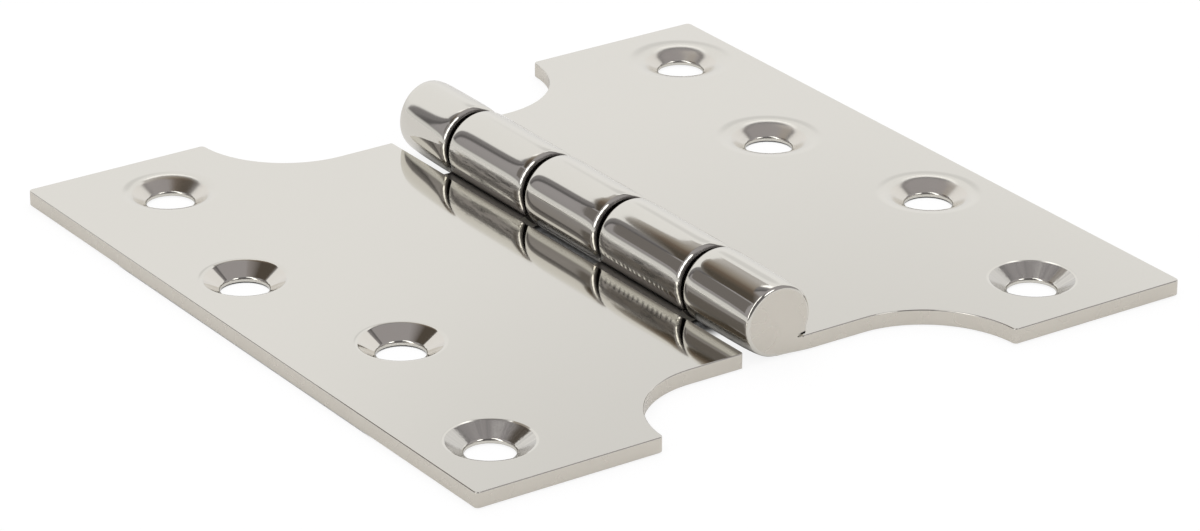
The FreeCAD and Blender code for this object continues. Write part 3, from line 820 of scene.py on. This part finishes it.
def studio():
    world = bpy.data.worlds.new("studio")
    scene.world = world
    world.use_nodes = True
    tree = world.node_tree
    tree.nodes.clear()
    ray = add(tree, "ShaderNodeTexCoord").outputs["Generated"]
    ramp, within = wall_and_room(tree, ray)

    # The wall is a little less bright in a soft patch above the middle, and bright at its top
    dim_patch = round_patch(tree, ray, (38, 31), cosine(9), cosine(3), 1.0, 0.84)
    height = add(tree, "ShaderNodeSeparateXYZ", Vector=ray).outputs[2]
    top_light = add(tree, "ShaderNodeMapRange", {"From Min": 0.72, "From Max": 0.78, "To Min": 0.0,
                    "To Max": 0.7}, Value=height)
    on_wall = add(tree, "ShaderNodeMapRange", {"From Min": 0.0, "From Max": 0.03}, Value=within)
    top_light = add(tree, "ShaderNodeMath", {"operation": "MULTIPLY"}, i0=top_light.outputs[0],
                    i1=on_wall.outputs[0])
    # It falls off towards the table, which ends in a pale line. The room is darker behind the camera.
    low = add(tree, "ShaderNodeMapRange", {"From Min": 0.0, "From Max": 0.28, "To Min": 0.86, "To Max": 1.0},
              Value=height)
    line = add(tree, "ShaderNodeMapRange", {"interpolation_type": "SMOOTHSTEP", "From Min": 0.06,
               "From Max": 0.17, "To Min": 0.8, "To Max": 0.0}, Value=height)
    room = round_patch(tree, ray, (215, 25), 0.55, 0.85, 1.0, 0.4)
    layers = [("MULTIPLY", dim_patch), ("ADD", top_light), ("MULTIPLY", low), ("LIGHTEN", line),
              ("MULTIPLY", room)]
    # Lamps on both sides of the camera, as azimuth, elevation, half width and strength
    for azimuth, elevation, half, level in ((165, 40, 11, 2.8), (-100, 15, 10, 2.2), (-103, 31, 10, 2.2),
                                             (-107, 47, 10, 2.2), (-116, 63, 10, 2.2)):
        layers.append(("LIGHTEN", round_patch(tree, ray, (azimuth, elevation), cosine(half * 1.15),
                                              cosine(half * 0.85), 0.0, level)))
    light = ramp.outputs[0]
    for blend, layer in layers:
        light = add(tree, "ShaderNodeMixRGB", {"blend_type": blend, "Fac": 1.0}, Color1=light,
                    Color2=layer.outputs[0]).outputs[0]
    # The camera sees plain white
    path = add(tree, "ShaderNodeLightPath")
    seen = add(tree, "ShaderNodeMixRGB", {"Color2": (1, 1, 1, 1)}, Fac=path.outputs["Is Camera Ray"],
               Color1=light)
    background = add(tree, "ShaderNodeBackground", Color=seen.outputs[0])
    add(tree, "ShaderNodeOutputWorld", Surface=background.outputs[0])


def white_table():
    """White paper, mirrored as it is lit. The camera sees it white, with painted shadow where it is shut in.
    """
    made, tree = material("white_table")
    path = add(tree, "ShaderNodeLightPath")
    tone = add(tree, "ShaderNodeMixRGB", {"Color1": (0.5, 0.495, 0.49, 1), "Color2": (0.15, 0.15, 0.15, 1)},
               Fac=path.outputs["Is Camera Ray"])
    paper = add(tree, "ShaderNodeBsdfDiffuse", Color=tone.outputs[0])
    # Painted shadow: the glow fades where ambient occlusion finds the paper shut in
    shut = add(tree, "ShaderNodeAmbientOcclusion", {"samples": 12, "Distance": 16 * MM})
    open_part = add(tree, "ShaderNodeMapRange", {"interpolation_type": "SMOOTHSTEP", "From Min": 0.10,
                    "From Max": 0.34}, Value=shut.outputs["AO"])
    # Painted light under both ends of the barrel, past its outer joints, where light comes in
    parts = add(tree, "ShaderNodeSeparateXYZ", Vector=add(tree, "ShaderNodeTexCoord").outputs["Object"])
    along = add(tree, "ShaderNodeMath", {"operation": "ABSOLUTE"}, i0=parts.outputs[1])
    ends = add(tree, "ShaderNodeMapRange", {"interpolation_type": "SMOOTHSTEP", "From Min": 26.2 * MM,
               "From Max": 29.5 * MM}, Value=along.outputs[0])
    lit = add(tree, "ShaderNodeMath", {"operation": "MAXIMUM"}, i0=open_part.outputs[0], i1=ends.outputs[0])
    # Painted light and shadow in the glow: full for the camera, fainter for the mirrors
    for_camera = add(tree, "ShaderNodeMath", {"operation": "MULTIPLY", 1: 0.87}, i0=lit.outputs[0])
    for_gloss = add(tree, "ShaderNodeMath", {"operation": "MULTIPLY", 1: 0.38}, i0=open_part.outputs[0])
    strength = add(tree, "ShaderNodeMixRGB", Fac=path.outputs["Is Camera Ray"], Color1=for_gloss.outputs[0],
                   Color2=for_camera.outputs[0])
    glow = add(tree, "ShaderNodeEmission", Strength=strength.outputs[0])
    both = add(tree, "ShaderNodeAddShader", i0=paper.outputs[0], i1=glow.outputs[0])
    add(tree, "ShaderNodeOutputMaterial", Surface=both.outputs[0])
    return made


def studio_floor():
    """The table under the hinge, a hair below it, and a lamp that gives it a soft shadow."""
    mesh = bpy.data.meshes.new("floor")
    half, level = 3000 * MM, -0.15 * MM
    mesh.from_pydata([(x * half, y * half, level) for x, y in ((-1, -1), (1, -1), (1, 1), (-1, 1))], [],
                     [(0, 1, 2, 3)])
    mesh.materials.append(white_table())
    floor = placed("floor", mesh)
    # Soft light from above, for the table only: the steel doesn't mirror it
    lamp = bpy.data.lights.new("over_the_table", "SUN")
    lamp.energy = 0.9
    lamp.angle = math.radians(70)
    high = placed("over_the_table", lamp)
    high.visible_camera = high.visible_glossy = False


def hung(name, verts, faces, made):
    """Something that hangs in the studio for the steel alone to mirror."""
    mesh = bpy.data.meshes.new(name)
    mesh.from_pydata([(x * MM, y * MM, z * MM) for x, y, z in verts], [], faces)
    mesh.materials.append(made)
    obj = placed(name, mesh)
    obj.visible_camera = obj.visible_diffuse = obj.visible_shadow = False
    return obj


def brown_card():
    """Card that is grey along its far edge and brown inside, paler to the right."""
    made, tree = material("brown_card")
    place = add(tree, "ShaderNodeTexCoord").outputs["Object"]
    parts = add(tree, "ShaderNodeSeparateXYZ", Vector=place)
    where = add(tree, "ShaderNodeMapRange", {"From Min": -70 * MM, "From Max": 60 * MM},
                Value=parts.outputs[0])
    edge_tones = ((0.0, (0.25, 0.235, 0.225)), (0.45, (0.5, 0.48, 0.46)), (0.8, (0.62, 0.6, 0.59)))
    inner_tones = ((0.0, (0.10, 0.085, 0.07)), (0.27, (0.18, 0.14, 0.11)), (0.45, (0.34, 0.3, 0.26)),
                   (0.8, (0.55, 0.53, 0.52)))
    ramps = []
    for stops in (edge_tones, inner_tones):
        ramps.append(add(tree, "ShaderNodeValToRGB", Fac=where.outputs[0]))
        fill_ramp(ramps[-1], stops)
    inward = add(tree, "ShaderNodeAttribute", {"attribute_name": "inward"})
    tone = add(tree, "ShaderNodeMixRGB", Fac=inward.outputs["Fac"], Color1=ramps[0].outputs[0],
               Color2=ramps[1].outputs[0])
    glow = add(tree, "ShaderNodeEmission", Color=tone.outputs[0])
    # The front edge is soft, so that the countersinks mirror no line
    solid = add(tree, "ShaderNodeAttribute", {"attribute_name": "fade"})
    clear = add(tree, "ShaderNodeBsdfTransparent")
    glow = add(tree, "ShaderNodeMixShader", i0=solid.outputs["Fac"], i1=clear.outputs[0], i2=glow.outputs[0])
    add(tree, "ShaderNodeOutputMaterial", Surface=glow.outputs[0])
    return made


def dark_card():
    """Card above and beyond the barrel, mirrored as a dark line that widens towards the camera."""
    far = ((-115, 152), (-70, 146), (-49, 141), (-20, 130), (-7, 126), (2, 117.5), (15, 111), (44, 113),
           (60, 118))
    height, edge_width, middle = 134, 15, 60
    # The card ends beyond the barrel, and reaches further towards the camera on the left
    left_end, left_front, front_edge = -45, 10, 59
    front = [left_front if x < left_end else front_edge for x, _ in far]
    rows = ([y for _, y in far], [y - edge_width for _, y in far], [middle] * len(far), front)
    verts = [(x, y, height) for row in rows for (x, _), y in zip(far, row)]
    count = len(far)
    faces = [(r * count + i, r * count + i + 1, (r + 1) * count + i + 1, (r + 1) * count + i)
             for r in range(len(rows) - 1) for i in range(count - 1)]
    card = hung("card", verts, faces, brown_card())
    for name, values in (("inward", (0.0, 1.0, 1.0, 1.0)), ("fade", (1.0, 1.0, 1.0, 0.0))):
        mark = card.data.attributes.new(name, "FLOAT", "POINT")
        mark.data.foreach_set("value", [value for value in values for _ in far])


def grey_panel():
    """Panel on the left, beyond the hinge, where only the two nearest knuckles mirror it."""
    made, tree = material("grey_panel")
    glow = add(tree, "ShaderNodeEmission", {"Color": (0.20, 0.185, 0.18, 1)})
    add(tree, "ShaderNodeOutputMaterial", Surface=glow.outputs[0])
    distance = 118
    corners = ((-82, 88), (-190, 196), (-230, 62), (-110, 42))
    panel = hung("panel", [(x, distance, z) for x, z in corners], [(0, 1, 2, 3)], made)


def camera():
    """The photograph's viewpoint: 628 mm away with a long lens, 24 degrees above the table."""
    azimuth, elevation, roll = (math.radians(v) for v in (34.843, 24.257, -0.309))
    distance, shift_across, shift_below = 627.7, -0.83, -2.06
    focal_pixels, width_pixels, sensor = 5107, 1200, 36.0
    forward = Vector((math.sin(azimuth) * math.cos(elevation), math.cos(azimuth) * math.cos(elevation),
                      -math.sin(elevation)))
    right = Vector((math.cos(azimuth), -math.sin(azimuth), 0))
    down = forward.cross(right)
    across = math.cos(roll) * right + math.sin(roll) * down
    below = -math.sin(roll) * right + math.cos(roll) * down
    place = -(across * shift_across + below * shift_below + forward * distance) * MM
    data = bpy.data.cameras.new("camera")
    data.sensor_fit = "HORIZONTAL"
    data.sensor_width = sensor
    data.lens = focal_pixels / width_pixels * sensor
    data.clip_start = 0.01
    obj = placed("camera", data)
    turn = Matrix((across, -below, -forward)).transposed().to_4x4()
    obj.matrix_world = Matrix.Translation(place) @ turn
    scene.camera = obj


studio()
studio_floor()
dark_card()
grey_panel()
camera()
scene.view_settings.view_transform = "Standard"
